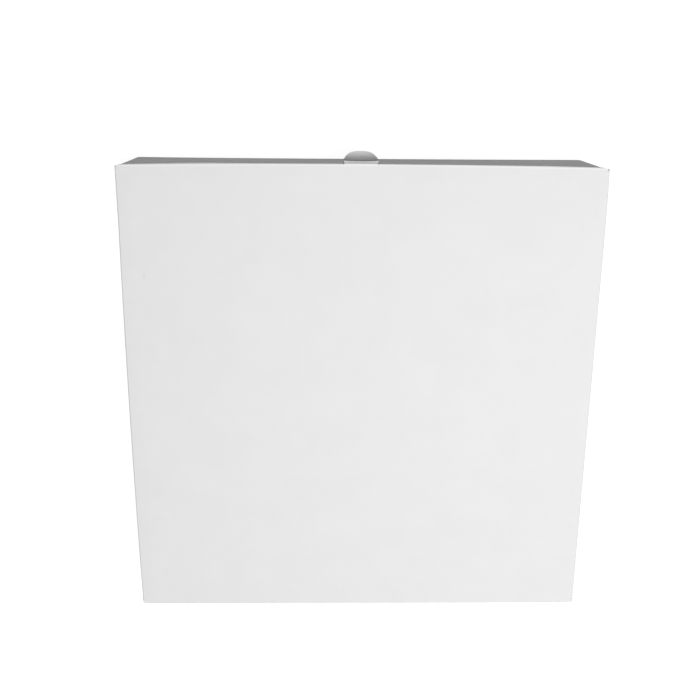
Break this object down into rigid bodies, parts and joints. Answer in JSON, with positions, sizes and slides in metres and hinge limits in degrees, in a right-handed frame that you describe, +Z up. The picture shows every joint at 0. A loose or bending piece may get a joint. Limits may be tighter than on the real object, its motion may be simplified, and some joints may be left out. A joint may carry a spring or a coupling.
{
  "type": "pastry box",
  "caption": "Shallow square folding board box for pastry: a tray with doubled side walls and a hood lid, hinged on the back fold and lifted by a thumb tab.",
  "frame": {"origin": "centre of the tray's underside", "axes": "+Z up, the front flap with the thumb tab faces -Y, the hinge fold is at +Y and runs along X"},
  "size_m": [0.308, 0.3154, 0.052],
  "materials": {
    "tray_board": "white lined board, matt, greyer uncoated inner face",
    "lid_board": "white lined board, matt"
  },
  "bodies": {
    "tray": {"tray": "tray_board"},
    "lid": {"lid": "lid_board"}
  },
  "joints": [
    {"name": "lid_hinge", "type": "hinge", "parent": "tray", "child": "lid", "pos_m": [0, 0.1516, 0.0516], "axis": [-1, 0, 0], "range_deg": [0, 180]}
  ]
}
